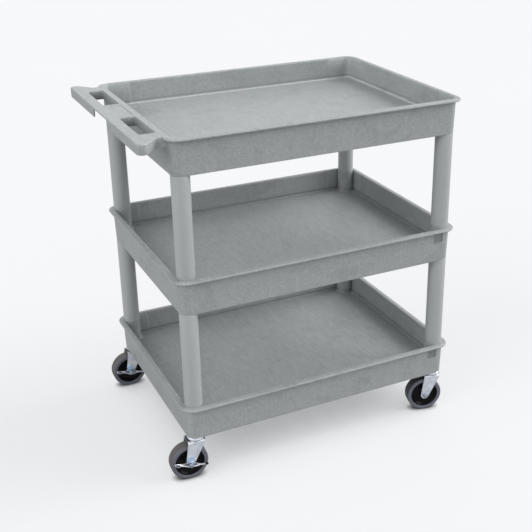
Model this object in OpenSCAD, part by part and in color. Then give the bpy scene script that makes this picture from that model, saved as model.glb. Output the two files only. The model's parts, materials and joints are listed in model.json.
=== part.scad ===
// Three-shelf food service trolley: moulded tub shelves on plug-in posts, with four swivel casters.
// The front is +X and the push handle is at -X. The floor is z = 0.

/* [Shelves] */
// Length of a shelf over its rim
shelf_l = 813; // [700:1:900]
// Width of a shelf over its rim
shelf_w = 610; // [500:1:700]
// Height of a shelf, from its rim to the bottom of its skirt
shelf_h = 95; // [90:1:120]
// Depth of a tub, from the rim to its floor
tub_depth = 64; // [50:1:66]
// Thickness of the walls and the floor
wall = 5; // [4:0.5:6]
// How far the rim stands out from the wall
rim_out = 13.5; // [8:0.5:16]
// Thickness of the rim
rim_t = 5; // [4:0.5:7]
// Outside radius of the wall at the corners
corner_r = 24.5; // [24.5:0.5:30]
// Height of the lowest rim above the floor
low_rim = 219; // [200:1:240]
// Height from one rim to the next
shelf_pitch = 360; // [300:1:420]
// How much thicker the wall is beside each corner
pad_t = 1.5; // [1:0.5:2]
// Reach of the thicker wall along the long sides, from the outside of the rim
pad_l = 92; // [60:1:120]
// Thickness of the ribs under a tub floor
rib_t = 3; // [2:0.5:4]
// Height of the ribs under a tub floor
rib_h = 25; // [10:1:25]
// Number of rib bays along a shelf
bays_l = 10; // [6:2:12]
// Number of rib bays across a shelf
bays_w = 8; // [4:2:10]

/* [Handle] */
// How far the handle stands out from the rim
handle_reach = 70; // [60:1:90]
// Depth of the skirt that hangs from the handle's edge
handle_skirt = 26; // [15:1:40]
// Thickness of the handle's plate and skirt
handle_t = 4; // [3:0.5:5]
// Half width of the gap in the middle of the skirt
skirt_gap = 60; // [30:1:65]
// Length of a hand slot
slot_l = 156; // [120:1:160]
// Width of a hand slot
slot_w = 39.5; // [30:0.5:42]
// Distance from the middle of the handle to the middle of a hand slot
slot_y = 146; // [130:1:150]
// Radius of the rounded ends of the handle
lobe_r = 15; // [12:1:18]
// Radius of the hollow between the handle and the rim
valley_r = 11; // [8:1:13]

/* [Posts] */
// Outside radius of a post
post_r = 23.5; // [20:0.5:24]
// Radius of the reduced spigots at both ends of a post
spigot_r = 19; // [15:0.5:20]
// Radius of the hollow inside a post
post_bore_r = 15; // [10:0.5:16]
// Length of the spigot at the foot of a post
foot_spigot = 40; // [20:1:40]
// Height of the moulded columns above the rim
column_rise = 5; // [0:1:8]

/* [Casters] */
// Radius of a wheel over its tyre
wheel_r = 51; // [45:0.5:51]
// Width of the tyre
tyre_w = 32; // [26:1:33]
// Outside radius of the wheel centre, inside the tyre
core_r = 40; // [36:0.5:44]
// Horizontal distance from the swivel axis back to the axle
trail = 23; // [20:0.5:26]
// Half distance between the inside faces of the fork legs
leg_in = 18.5; // [18:0.5:20]
// Thickness of the fork's sheet metal
sheet = 2.5; // [2:0.5:3]
// Radius of the axle bolt
bolt_r = 4; // [3:0.5:4]
// Number of balls in a swivel raceway
ball_count = 18; // [12:1:18]
// Length of the brake lever on each side of its pivot
lever_reach = 46; // [40:1:50]

/* [Resting angles] */
// Turn of the rear right caster from trailing straight back
rear_right_turn = -3; // [-40:1:40]
// Turn of the rear left caster
rear_left_turn = 0; // [-40:1:40]
// Turn of the front right caster
front_right_turn = -14; // [-40:1:40]
// Turn of the front left caster
front_left_turn = -4; // [-40:1:40]

/* [Hidden] */
$fn = 64;
eps = 0.01;
CORNERS = ["rear_right", "rear_left", "front_right", "front_left"];
BRAKED = ["rear_right", "rear_left"];
CASTER_PARTS = ["caster_socket", "caster_stem", "raceway_balls", "fork", "axle_bolt", "axle_nut",
    "axle_sleeve", "thrust_washers", "wheel_core", "tyre"];
BRAKE_PARTS = ["brake_cam", "brake_lever", "lever_tip"];

GREY = [0.56, 0.58, 0.58];
ZINC = [0.76, 0.78, 0.81];
BLACK = [0.06, 0.06, 0.07];
RUBBER = [0.36, 0.36, 0.39];

// The origin is midway between the handle's edge and the front rim
shelf_x = handle_reach / 2;
rim_r = corner_r + rim_out;
wall_l = shelf_l - 2 * rim_out;
wall_w = shelf_w - 2 * rim_out;
post_x = wall_l / 2 - corner_r;
post_y = wall_w / 2 - corner_r;
column_r = corner_r - 0.5;
under_floor = tub_depth + wall;
boss_h = shelf_h - under_floor;
fit = 0.1;
// shallow pocket moulded under the rim near the front posts
pocket_w = 28;
pocket_h = 34;
pocket_t = 2;
pocket_back = 18;
middle_rim = low_rim + shelf_pitch;
top_rim = low_rim + 2 * shelf_pitch;
caster_h = low_rim - shelf_h;

leg_out = leg_in + sheet;
leg_end_r = 12;
crown_top = caster_h - 9;
crown_t = 3;
crown_r = 24;
leg_rear = trail + 3;
leg_front = 22;
stem_r = 8;
socket_r = 12;
socket_l = 44;
pin_r = 5;
race_r = 15;
ball_r = 2.4;
ball_z = crown_top + 2.2;
race_z = crown_top + 4.4;
running = 0.05;
sleeve_r = 6.4;
nut_af = 13;
head_h = 5.3;
nut_h = 6.5;
lever_t = 2;
// how far a released lever stands from level, with its foot tab up
lever_tilt = 12;
lever_half = 9;
arm_w = 6;
arm_tip_w = 3.6;
tab_r = 9;
diamond_l = 25;
cam_h = 3.4;
lever_y = leg_out + cam_h + 0.2;

function side_x(c) = c == "rear_right" || c == "rear_left" ? -1 : 1;
function side_y(c) = c == "rear_right" || c == "front_right" ? -1 : 1;
function turn(c) = c == "rear_right" ? rear_right_turn : c == "rear_left" ? rear_left_turn
    : c == "front_right" ? front_right_turn : front_left_turn;
function has_brake(c) = side_x(c) < 0;

// Points along an arc
function arc(cx, cy, r, a0, a1, n = 12) =
    [for (i = [0 : n]) let (a = a0 + (a1 - a0) * i / n) [cx + r * cos(a), cy + r * sin(a)]];
// The angle on a circle where the line from point p touches it; side is 1 or -1
function touch(c, r, p, side) =
    atan2(p[1] - c[1], p[0] - c[0]) + side * acos(r / norm(p - c));

module rounded(l, w, r) {
    square([l - 2 * r, w], center = true);
    square([l, w - 2 * r], center = true);
    for (x = [-1, 1], y = [-1, 1]) translate([x * (l / 2 - r), y * (w / 2 - r)]) circle(r);
}

// A flat shape with its top at z, going down by h
module slab(z, h) translate([0, 0, z - h]) linear_extrude(h) children();

module at_posts() for (x = [-1, 1], y = [-1, 1]) translate([x * post_x, y * post_y, 0]) children();

// ---- The shelves: each is one moulding, built here with its rim at z = 0 ----

// The space inside a tub: the wall is thinner between the pads at the corners
module tub_space() {
    l = wall_l - 2 * wall;
    w = wall_w - 2 * wall;
    rounded(l - 2 * pad_t, w - 2 * pad_t, corner_r - wall);
    square([shelf_l - 2 * pad_l, w], center = true);
    square([l, shelf_w - 2 * pad_l], center = true);
}

module ribs() {
    l = wall_l - 2 * wall + 1;
    w = wall_w - 2 * wall + 1;
    // the ribs always stop short of the skirt's edge
    slab(-under_floor + eps, min(rib_h, boss_h - 1)) {
        for (i = [1 : bays_l - 1]) translate([(i / bays_l - 0.5) * l, 0])
            square([rib_t, w], center = true);
        for (i = [1 : bays_w - 1]) translate([0, (i / bays_w - 0.5) * w])
            square([l, rib_t], center = true);
    }
}

// The tub without its columns: rim, walls, floor, skirt and ribs
module tub_shell() {
    difference() {
        union() {
            slab(0, rim_t) rounded(shelf_l, shelf_w, rim_r);
            slab(0, shelf_h) rounded(wall_l, wall_w, corner_r);
        }
        slab(1, tub_depth + 1) tub_space();
        slab(-under_floor, boss_h + 1) rounded(wall_l - 2 * wall, wall_w - 2 * wall, corner_r - wall);
    }
    ribs();
}

// A tub with its four columns, bored below to take a post or a caster socket
module tub(bore_r, bore_l) {
    color(GREY) difference() {
        union() {
            tub_shell();
            at_posts() translate([0, 0, -shelf_h]) cylinder(h = shelf_h + column_rise, r = column_r);
        }
        at_posts() translate([0, 0, column_rise - foot_spigot - 1])
            cylinder(h = foot_spigot + 2, r = spigot_r + fit);
        at_posts() translate([0, 0, -shelf_h - 1]) cylinder(h = bore_l + 1, r = bore_r);
        for (y = [-1, 1]) translate([post_x - pocket_back, y * wall_w / 2, -rim_t - pocket_h / 2])
            cube([pocket_w, 2 * pocket_t, pocket_h], center = true);
    }
}

module bottom_tub() translate([shelf_x, 0, low_rim]) tub(socket_r + fit, socket_l + 1);

module middle_tub() translate([shelf_x, 0, middle_rim]) tub(spigot_r + fit, boss_h);

// Half of the handle's outline, moved in by t: a round end, a straight slope and a hollow
function handle_half(t) =
    let (lobe = [-shelf_l / 2 - handle_reach + lobe_r, shelf_w / 2 - lobe_r],
         valley = [-shelf_l / 2 - valley_r + 1.5, shelf_w / 2 - rim_r + valley_r - 1],
         slope = atan2(valley[1] - lobe[1], valley[0] - lobe[0])
             + acos((lobe_r + valley_r) / norm(valley - lobe)))
    concat([[-wall_l / 2 + 1, valley[1] - valley_r - t]],
        arc(valley[0], valley[1], valley_r + t, 270, 180 + slope),
        arc(lobe[0], lobe[1], lobe_r - t, slope, 180));

module handle_shape(t) {
    half = handle_half(t);
    polygon(concat(half, [for (i = [len(half) - 1 : -1 : 0]) [half[i][0], -half[i][1]]]));
}

module slots(grow) for (y = [-1, 1])
    translate([-shelf_l / 2 - slot_w / 2 - 0.5, y * slot_y])
        rounded(slot_w + 2 * grow, slot_l + 2 * grow, 4 + grow);

module handle() {
    difference() {
        union() {
            slab(0, rim_t) handle_shape(0);
            slab(0, handle_skirt) difference() {
                handle_shape(0);
                handle_shape(handle_t);
                translate([-shelf_l / 2 - handle_reach, 0])
                    square([2 * rim_out, 2 * skirt_gap], center = true);
            }
            slab(0, handle_skirt - 1) slots(handle_t);
        }
        slab(1, handle_skirt + 2) slots(0);
        // shallow panel between the hand slots
        slab(1, 2) translate([-shelf_l / 2 - slot_w / 2 + 4, 0]) rounded(slot_w - 6, 112, 4);
    }
}

module top_tub() translate([shelf_x, 0, top_rim]) color(GREY) {
    difference() {
        union() {
            tub_shell();
            // sockets under the floor take the tops of the posts
            at_posts() slab(-under_floor + 1, boss_h + 1) circle(column_r);
            difference() {
                handle();
                slab(1, shelf_h) square([wall_l, wall_w], center = true);
            }
        }
        at_posts() translate([0, 0, -shelf_h - 1]) cylinder(h = boss_h, r = spigot_r + fit);
    }
}

// ---- The posts: hollow, with a reduced spigot at each end ----

module post(c, rim) {
    len = shelf_pitch - shelf_h - column_rise;
    translate([shelf_x + side_x(c) * post_x, side_y(c) * post_y, rim + column_rise])
        color(GREY) difference() {
            union() {
                cylinder(h = len, r = post_r);
                translate([0, 0, 1 - foot_spigot]) cylinder(h = len + foot_spigot + boss_h - 3, r = spigot_r);
            }
            translate([0, 0, -foot_spigot]) cylinder(h = len + foot_spigot + boss_h, r = post_bore_r);
        }
}

// ---- The casters: built with the swivel axis at x = y = 0, trailing towards -X ----

module at_caster(c)
    translate([shelf_x + side_x(c) * post_x, side_y(c) * post_y, 0]) rotate([0, 0, turn(c)]) children();

// Turns a shape drawn round +Z so that it lies round the axle, +Z pointing to -Y
module on_axle() translate([-trail, 0, wheel_r]) rotate([90, 0, 0]) children();

module caster_socket() color(BLACK) translate([0, 0, caster_h]) difference() {
    cylinder(h = socket_l, r = socket_r);
    translate([0, 0, -1]) cylinder(h = socket_l + 2, r = stem_r + fit);
}

// Stem, upper raceway with its dust skirt, and the riveted pin that the fork turns on
module caster_stem() color(ZINC) difference() {
    union() {
        translate([0, 0, caster_h - 1]) cylinder(h = socket_l, r = stem_r);
        translate([0, 0, race_z]) cylinder(h = caster_h - race_z, r = 21);
        translate([0, 0, crown_top + 0.8]) difference() {
            cylinder(h = race_z - crown_top, r = 22.5);
            translate([0, 0, -1]) cylinder(h = race_z - crown_top + 2, r = 20.5);
        }
        translate([0, 0, crown_top - 7]) cylinder(h = 12, r = pin_r);
        translate([0, 0, crown_top - 7]) cylinder(h = 3.6, r = 8);
    }
    translate([0, 0, ball_z]) rotate_extrude() translate([race_r, 0]) circle(ball_r + 0.1, $fn = 32);
}

module raceway_balls() color(ZINC)
    for (i = [0 : ball_count - 1]) rotate([0, 0, i * 360 / ball_count]) translate([race_r, 0, ball_z])
        sphere(ball_r, $fn = 32);

// Outline of a fork leg seen from the side, in x and z
module leg_side() {
    axle = [-trail, wheel_r];
    rear = [-leg_rear, crown_top];
    front = [leg_front, crown_top];
    a = touch(axle, leg_end_r, rear, 1);
    b = touch(axle, leg_end_r, front, -1);
    polygon([rear, axle + leg_end_r * [cos(a), sin(a)], axle,
        axle + leg_end_r * [cos(b), sin(b)], front]);
    translate(axle) circle(leg_end_r);
}

// Pressed from one sheet: two legs and a crown, with a round lower raceway on top
module fork() color(ZINC) difference() {
    union() {
        intersection() {
            translate([0, leg_out + 1, 0]) rotate([90, 0, 0]) linear_extrude(2 * leg_out + 2) leg_side();
            rotate([90, 0, 90]) translate([0, 0, -leg_rear - 15]) linear_extrude(leg_rear + leg_front + 30)
                translate([0, crown_top - 60]) difference() {
                    rounded(2 * leg_out, 120, 5);
                    translate([0, -crown_t]) rounded(2 * leg_in, 120, 2.5);
                }
        }
        translate([0, 0, crown_top - crown_t]) cylinder(h = crown_t, r = crown_r);
    }
    translate([0, 0, crown_top - 20]) cylinder(h = 30, r = pin_r + running);
    translate([0, 0, ball_z]) rotate_extrude() translate([race_r, 0]) circle(ball_r + 0.1, $fn = 32);
    on_axle() cylinder(h = 4 * leg_out, r = bolt_r + running, center = true);
}

// The braked casters have a longer bolt, which also carries the lever
module axle_bolt(braked) {
    reach = braked ? lever_y + lever_t + nut_h + 0.6 : leg_out + nut_h + 2;
    color(ZINC) on_axle() {
        translate([0, 0, -leg_out]) cylinder(h = leg_out + reach, r = bolt_r);
        translate([0, 0, -leg_out - head_h]) cylinder(h = head_h, d = nut_af / cos(30), $fn = 6);
    }
}

module axle_nut(braked) color(ZINC) on_axle() translate([0, 0, braked ? lever_y + lever_t + 0.2 : leg_out])
    difference() {
        cylinder(h = nut_h, d = nut_af / cos(30), $fn = 6);
        translate([0, 0, -1]) cylinder(h = nut_h + 2, r = bolt_r + fit);
    }

module axle_sleeve() color(ZINC) on_axle() difference() {
    cylinder(h = 2 * leg_in, r = sleeve_r, center = true);
    cylinder(h = 2 * leg_in + 2, r = bolt_r + running, center = true);
}

module thrust_washers() color(BLACK) on_axle() for (s = [-1, 1]) translate([0, 0, s * (leg_in - 0.7)])
    difference() {
        cylinder(h = 1.2, r = 11, center = true);
        cylinder(h = 2, r = sleeve_r + running, center = true);
    }

// Moulded wheel centre: a rim, a dished web and a hub that runs on the sleeve
module wheel_core() color(BLACK) on_axle() rotate_extrude() {
    hub_w = leg_in - 1.5;
    difference() {
        union() {
            translate([0, -hub_w]) square([13, 2 * hub_w]);
            translate([12, -9]) square([core_r - 16, 18]);
            translate([core_r - 5, -14.5]) square([5, 29]);
        }
        translate([-1, -hub_w - 1]) square([1 + sleeve_r + running, 2 * hub_w + 2]);
    }
}

module tyre() color(RUBBER) on_axle() rotate_extrude() {
    edge_r = 4;
    inner = core_r + running;
    translate([inner, -tyre_w / 2]) square([wheel_r - edge_r - inner, tyre_w]);
    translate([inner, edge_r - tyre_w / 2]) square([wheel_r - inner, tyre_w - 2 * edge_r]);
    for (s = [-1, 1]) translate([wheel_r - edge_r, s * (tyre_w / 2 - edge_r)]) circle(edge_r);
}

// ---- The brake on a rear caster: drawn with +X trailing back and +Z pointing outwards ----

module on_brake() on_axle() rotate([0, 0, 180 - lever_tilt]) children();

// A dished cam that the lever squeezes against the fork leg
module brake_cam() color(ZINC) on_axle() translate([0, 0, leg_out]) difference() {
    union() {
        cylinder(h = 1.4, r = 12.5);
        cylinder(h = cam_h, r = 9.5);
    }
    translate([0, 0, -1]) cylinder(h = cam_h + 2, r = bolt_r + running);
}

// Pressed lever: a diamond round the pivot, a foot tab behind and a thin arm in front
module brake_lever() color(ZINC) translate([0, 0, lever_y]) {
    difference() {
        linear_extrude(lever_t) {
            polygon([[diamond_l, arm_w / 2], [0, lever_half], [-diamond_l, arm_tip_w / 2],
                [-diamond_l, -arm_tip_w / 2], [0, -lever_half], [diamond_l, -arm_w / 2]]);
            translate([diamond_l - 1, -arm_w / 2]) square([lever_reach - tab_r - diamond_l + 1, arm_w]);
            translate([5 - lever_reach, -arm_tip_w / 2]) square([lever_reach - diamond_l - 4, arm_tip_w]);
        }
        translate([0, 0, -1]) cylinder(h = lever_t + 2, r = bolt_r + running);
    }
    // the foot tab stands out square to the lever
    translate([lever_reach - tab_r, lever_t / 2, tab_r / 2]) rotate([90, 0, 0]) difference() {
        cylinder(h = lever_t, r = tab_r);
        translate([-tab_r, -tab_r * 3 / 2, -1]) cube([2 * tab_r, tab_r, lever_t + 2]);
    }
}

module lever_tip() color(BLACK) translate([5 - lever_reach, 0, lever_y + lever_t / 2])
    rotate([0, -90, 0]) cylinder(h = 6, r = 3.2);

top_tub();
middle_tub();
bottom_tub();
for (c = CORNERS) {
    post(c, middle_rim);
    post(c, low_rim);
    at_caster(c) caster_socket();
    at_caster(c) caster_stem();
    at_caster(c) raceway_balls();
    at_caster(c) fork();
    at_caster(c) axle_bolt(has_brake(c));
    at_caster(c) axle_nut(has_brake(c));
    at_caster(c) axle_sleeve();
    at_caster(c) thrust_washers();
    at_caster(c) wheel_core();
    at_caster(c) tyre();
}
for (c = BRAKED) {
    at_caster(c) brake_cam();
    at_caster(c) on_brake() brake_lever();
    at_caster(c) on_brake() lever_tip();
}
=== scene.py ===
import json
import math

import bmesh
import bpy
import numpy as np
from mathutils import Matrix, Vector
from mathutils.geometry import tessellate_polygon


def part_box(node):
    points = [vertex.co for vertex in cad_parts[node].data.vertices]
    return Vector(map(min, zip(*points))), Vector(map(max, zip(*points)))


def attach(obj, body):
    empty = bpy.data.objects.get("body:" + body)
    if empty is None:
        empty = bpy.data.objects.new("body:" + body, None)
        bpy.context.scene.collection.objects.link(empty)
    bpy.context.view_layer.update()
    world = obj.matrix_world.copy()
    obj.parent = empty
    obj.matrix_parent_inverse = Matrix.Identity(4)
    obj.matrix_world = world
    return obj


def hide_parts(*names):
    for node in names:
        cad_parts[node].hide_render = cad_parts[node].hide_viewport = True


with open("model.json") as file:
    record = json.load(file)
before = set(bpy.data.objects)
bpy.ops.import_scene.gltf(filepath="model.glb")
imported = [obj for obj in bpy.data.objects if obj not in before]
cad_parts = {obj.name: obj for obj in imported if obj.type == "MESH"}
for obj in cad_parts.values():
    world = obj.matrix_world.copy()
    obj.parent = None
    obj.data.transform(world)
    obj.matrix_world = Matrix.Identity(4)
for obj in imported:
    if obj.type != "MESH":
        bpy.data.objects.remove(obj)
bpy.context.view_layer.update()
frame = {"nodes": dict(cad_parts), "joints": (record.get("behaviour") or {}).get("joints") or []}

# ---- The studio: a plain pale floor, four broad soft lights, and light from all round ----
# The floor glows a little, as paper does under studio lamps, so that shadows on it stay faint. Painted
# shadow darkens it where something stands over it (UNDER_REACH) and where something touches it (TOUCH_REACH).
PAPER = (0.915, 0.925, 0.94)
UNDER_REACH, TOUCH_REACH, FLOOR_SIZE = 0.29, 0.022, 120


def node(tree, kind, inputs=None, **settings):
    """One shader node, with its settings and its inputs, each a value or another node's output."""
    made = tree.nodes.new(kind)
    for key, value in settings.items():
        setattr(made, key, value)
    for key, value in (inputs or {}).items():
        socket = made.inputs[key]
        if isinstance(value, bpy.types.NodeSocket):
            tree.links.new(value, socket)
        else:
            socket.default_value = value
    return made


def new_material(name):
    """An empty node material: its tree and its shader."""
    material = bpy.data.materials.new(name)
    material.use_nodes = True
    return material, material.node_tree, material.node_tree.nodes["Principled BSDF"]


paper, tree, shader = new_material("studio_paper")
paper_noise = node(tree, "ShaderNodeTexNoise", {"Scale": 0.6, "Detail": 2.0,
    "Vector": node(tree, "ShaderNodeTexCoord").outputs["Object"]})
paper_tone = node(tree, "ShaderNodeMix", {"Factor": paper_noise.outputs["Fac"], "A": (0.195, 0.198, 0.202, 1),
    "B": (0.205, 0.208, 0.212, 1)}, data_type="RGBA")
# Painted contact shadow: the paper's colour and glow are darkened where something touches it
touch = node(tree, "ShaderNodeAmbientOcclusion", {"Distance": TOUCH_REACH}, samples=8)
contact_shadow = node(tree, "ShaderNodeMapRange", {"Value": touch.outputs["AO"], "From Min": 0.3, "From Max": 0.85,
    "To Min": 0.12, "To Max": 1.0})
paper_contact_shadowed = node(tree, "ShaderNodeVectorMath",
    {0: paper_tone.outputs["Result"], "Scale": contact_shadow.outputs[0]}, operation="SCALE")
tree.links.new(paper_contact_shadowed.outputs[0], shader.inputs["Base Color"])
shader.inputs["Roughness"].default_value = 0.9
shader.inputs["Specular IOR Level"].default_value = 0.0
# Painted shadow: the glow is dimmed where something stands over the paper
near = node(tree, "ShaderNodeAmbientOcclusion", {"Distance": UNDER_REACH}, samples=12)
under = node(tree, "ShaderNodeMapRange", {"Value": near.outputs["AO"], "From Min": 0.08, "From Max": 0.6,
    "To Min": 0.25, "To Max": 0.70})
shaded = node(tree, "ShaderNodeMath", {0: under.outputs[0], 1: contact_shadow.outputs[0]}, operation="MULTIPLY")
glow = node(tree, "ShaderNodeMix", {"Factor": node(tree, "ShaderNodeLightPath").outputs["Is Camera Ray"],
    "A": 0.27, "B": shaded.outputs[0]})
shader.inputs["Emission Color"].default_value = (*PAPER, 1)
tree.links.new(glow.outputs[0], shader.inputs["Emission Strength"])
bpy.ops.mesh.primitive_plane_add(size=FLOOR_SIZE)
floor = bpy.context.object
floor.name = "studio_floor"
floor.data.materials.append(paper)

world = bpy.data.worlds.new("studio")
bpy.context.scene.world = world
world.use_nodes = True
tree = world.node_tree
tree.nodes.clear()
seen = node(tree, "ShaderNodeBackground", {"Color": (*PAPER, 1), "Strength": 1.01})
lit = node(tree, "ShaderNodeBackground", {"Color": (*PAPER, 1), "Strength": 0.63})
both = node(tree, "ShaderNodeMixShader", {0: node(tree, "ShaderNodeLightPath").outputs["Is Camera Ray"],
    1: lit.outputs[0], 2: seen.outputs[0]})
node(tree, "ShaderNodeOutputWorld", {"Surface": both.outputs[0]})

for name, energy, direction in (("key_right", 3.2, (-0.8, 0.2, -0.5)),
                                ("fill_left", 1.55, (0.8, 0.15, -0.5)),
                                ("fill_front", 0.4, (0.1, 0.85, -0.35)),
                                ("rim_back", 0.3, (-0.3, -0.8, -0.32))):
    lamp = bpy.data.lights.new(name, "SUN")
    lamp.energy, lamp.angle, lamp.color = energy, math.radians(50), (1.0, 0.995, 0.985)
    softbox = bpy.data.objects.new(name, lamp)
    softbox.rotation_euler = Vector(direction).to_track_quat("-Z", "Y").to_euler()
    bpy.context.scene.collection.objects.link(softbox)

lens = bpy.data.cameras.new("camera")
lens.lens, lens.sensor_width, lens.shift_x, lens.shift_y = 65.1, 36.0, -0.0662, -0.0239
lens.clip_start, lens.clip_end = 0.05, 200.0
camera = bpy.data.objects.new("camera", lens)
aim = Vector((0.4049, 0.8221, -0.4003)).to_track_quat("-Z", "Y").to_matrix().to_4x4()
roll_angle = Matrix.Rotation(math.radians(-0.40), 4, "Z")
camera.matrix_world = Matrix.Translation((-1.0217, -2.3016, 1.5705)) @ aim @ roll_angle
bpy.context.scene.collection.objects.link(camera)
bpy.context.scene.camera = camera
bpy.context.scene.view_settings.view_transform = "Standard"

# ---- The three tub shelves: each one rotationally moulded in grey polyethylene ----
# A section through the wall is carried round the corners, from the middle of the floor up the
# wall, over the rolled lip, down the skirt and back under the floor. Ribs stiffen the floor below.
MM = 0.001
RIB_SPAN_L, RIB_SPAN_W, RIB_BAYS_L, RIB_BAYS_W = 777, 574, 10, 8
SKIN_OUTPUTS = (("Color", "NodeSocketColor"), ("Roughness", "NodeSocketFloat"), ("Height", "NodeSocketFloat"))

effect = bpy.data.node_groups.new("moulded_skin", "ShaderNodeTree")
for name, kind, value in (("Tone", "NodeSocketColor", (0.4, 0.4, 0.4, 1)), ("Cloud", "NodeSocketFloat", 0.05),
                          ("Sheen low", "NodeSocketFloat", 0.4), ("Sheen high", "NodeSocketFloat", 0.55),
                          ("Painted light", "NodeSocketFloat", 0.0), ("Ribs", "NodeSocketFloat", 0.0),
                          ("Wear", "NodeSocketFloat", 0.12)):
    effect.interface.new_socket(name, in_out="INPUT", socket_type=kind).default_value = value
for name, kind in SKIN_OUTPUTS:
    effect.interface.new_socket(name, in_out="OUTPUT", socket_type=kind)
given = node(effect, "NodeGroupInput").outputs
place = node(effect, "ShaderNodeTexCoord").outputs["Object"]
drift = node(effect, "ShaderNodeTexNoise", {"Vector": place, "Scale": 4.0, "Detail": 2.0})
stirred = node(effect, "ShaderNodeVectorMath", {0: drift.outputs["Color"], 1: (0.16, 0.16, 0.16), 2: place},
    operation="MULTIPLY_ADD")
cloud = node(effect, "ShaderNodeTexNoise", {"Vector": stirred.outputs[0], "Scale": 13.0, "Detail": 6.0,
    "Roughness": 0.62, "Distortion": 0.9})
speck = node(effect, "ShaderNodeTexNoise", {"Vector": place, "Scale": 290.0, "Detail": 4.0, "Roughness": 0.75})
grain = node(effect, "ShaderNodeTexNoise", {"Vector": place, "Scale": 900.0, "Detail": 1.0})
# Fine streaks lie across the shelf, where loads have slid
curved = node(effect, "ShaderNodeVectorMath", {0: drift.outputs["Color"], 1: (0.045, 0.045, 0.045), 2: place},
    operation="MULTIPLY_ADD")
across = node(effect, "ShaderNodeVectorMath", {0: curved.outputs[0], 1: (200.0, 17.0, 190.0)},
    operation="MULTIPLY")
streak = node(effect, "ShaderNodeTexNoise", {"Vector": across.outputs[0], "Scale": 1.0, "Detail": 4.0,
    "Roughness": 0.7})
streaky = node(effect, "ShaderNodeMapRange", {"Value": streak.outputs["Fac"], "From Min": 0.25,
    "From Max": 0.75, "To Min": -0.14, "To Max": 0.14})
scuff = node(effect, "ShaderNodeMapRange", {"Value": cloud.outputs["Fac"], "From Min": 0.50, "From Max": 0.72,
    "To Min": 0.0, "To Max": 0.22})
lines = node(effect, "ShaderNodeMath", {0: streaky.outputs[0], 1: scuff.outputs[0]}, operation="SUBTRACT")
scored = node(effect, "ShaderNodeMath", {0: lines.outputs[0], 1: given["Wear"], 2: 1.0},
    operation="MULTIPLY_ADD")
softer = node(effect, "ShaderNodeMath", {0: cloud.outputs["Fac"], 1: 0.65}, operation="MULTIPLY")
uneven = node(effect, "ShaderNodeMath", {0: speck.outputs["Fac"], 1: 1.5, 2: softer.outputs[0]},
    operation="MULTIPLY_ADD")
low = node(effect, "ShaderNodeMath", {0: 1.0, 1: given["Cloud"]}, operation="SUBTRACT")
high = node(effect, "ShaderNodeMath", {0: 1.0, 1: given["Cloud"]}, operation="ADD")
shade = node(effect, "ShaderNodeMapRange", {"Value": uneven.outputs[0], "From Min": 0.80, "From Max": 1.35,
    "To Min": low.outputs[0], "To Max": high.outputs[0]})
# Painted highlight: bent edges and creases, found by their pointiness, are made up to 1.3 times as light
bent = node(effect, "ShaderNodeMath", {0: node(effect, "ShaderNodeNewGeometry").outputs["Pointiness"], 1: 0.5},
    operation="SUBTRACT")
edge = node(effect, "ShaderNodeMapRange", {"Value": node(effect, "ShaderNodeMath", {0: bent.outputs[0]},
    operation="ABSOLUTE").outputs[0], "From Min": 0.01, "From Max": 0.10, "To Min": 1.0, "To Max": 1.3})
# Ribs show through as faint lines: the distance to the nearest rib, each way, folded over its pitch
rib_lines = []
axes = node(effect, "ShaderNodeSeparateXYZ", {0: place})
for axis, start, pitch in (("X", 0.035, RIB_SPAN_L / RIB_BAYS_L * MM), ("Y", 0.0, RIB_SPAN_W / RIB_BAYS_W * MM)):
    along = node(effect, "ShaderNodeMath", {0: axes.outputs[axis], 1: start}, operation="SUBTRACT")
    folded = node(effect, "ShaderNodeMath", {0: along.outputs[0], 1: pitch / 2}, operation="PINGPONG")
    rib_lines.append(node(effect, "ShaderNodeMapRange", {"Value": folded.outputs[0], "From Max": 0.0028,
        "To Min": 1.0, "To Max": 0.0}))
either = node(effect, "ShaderNodeMath", {0: rib_lines[0].outputs[0], 1: rib_lines[1].outputs[0]},
    operation="MAXIMUM")
patchy = node(effect, "ShaderNodeMapRange", {"Value": drift.outputs["Fac"], "From Min": 0.42, "From Max": 0.6,
    "To Max": given["Ribs"]})
printed = node(effect, "ShaderNodeMath", {0: either.outputs[0], 1: patchy.outputs[0], 2: 1.0},
    operation="MULTIPLY_ADD")
ribs_and_painted_highlight = node(effect, "ShaderNodeMath", {0: edge.outputs[0], 1: printed.outputs[0]}, operation="MULTIPLY")
# Painted light from the attribute: above 0 painted shade, down to 0.48 times, below 0 painted highlight
painted_shade_and_highlight = node(effect, "ShaderNodeMapRange", {"Value": given["Painted light"], "From Min": -1.0, "To Min": 1.52,
    "To Max": 0.48})
ribs_and_painted_light = node(effect, "ShaderNodeMath", {0: ribs_and_painted_highlight.outputs[0], 1: painted_shade_and_highlight.outputs[0]}, operation="MULTIPLY")
wear_ribs_and_painted_light = node(effect, "ShaderNodeMath", {0: ribs_and_painted_light.outputs[0], 1: scored.outputs[0]}, operation="MULTIPLY")
tone_wear_and_painted_light = node(effect, "ShaderNodeMath", {0: shade.outputs[0], 1: wear_ribs_and_painted_light.outputs[0]}, operation="MULTIPLY")
toned = node(effect, "ShaderNodeVectorMath", {0: given["Tone"], "Scale": tone_wear_and_painted_light.outputs[0]}, operation="SCALE")
polish = node(effect, "ShaderNodeMapRange", {"Value": cloud.outputs["Fac"], "From Min": 0.3, "From Max": 0.7,
    "To Min": given["Sheen high"], "To Max": given["Sheen low"]})
skin_height = node(effect, "ShaderNodeMath", {0: grain.outputs["Fac"], 1: 0.5, 2: speck.outputs["Fac"]},
    operation="MULTIPLY_ADD")
node(effect, "NodeGroupOutput", {"Color": toned.outputs[0], "Roughness": polish.outputs[0],
    "Height": skin_height.outputs[0]})


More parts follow.
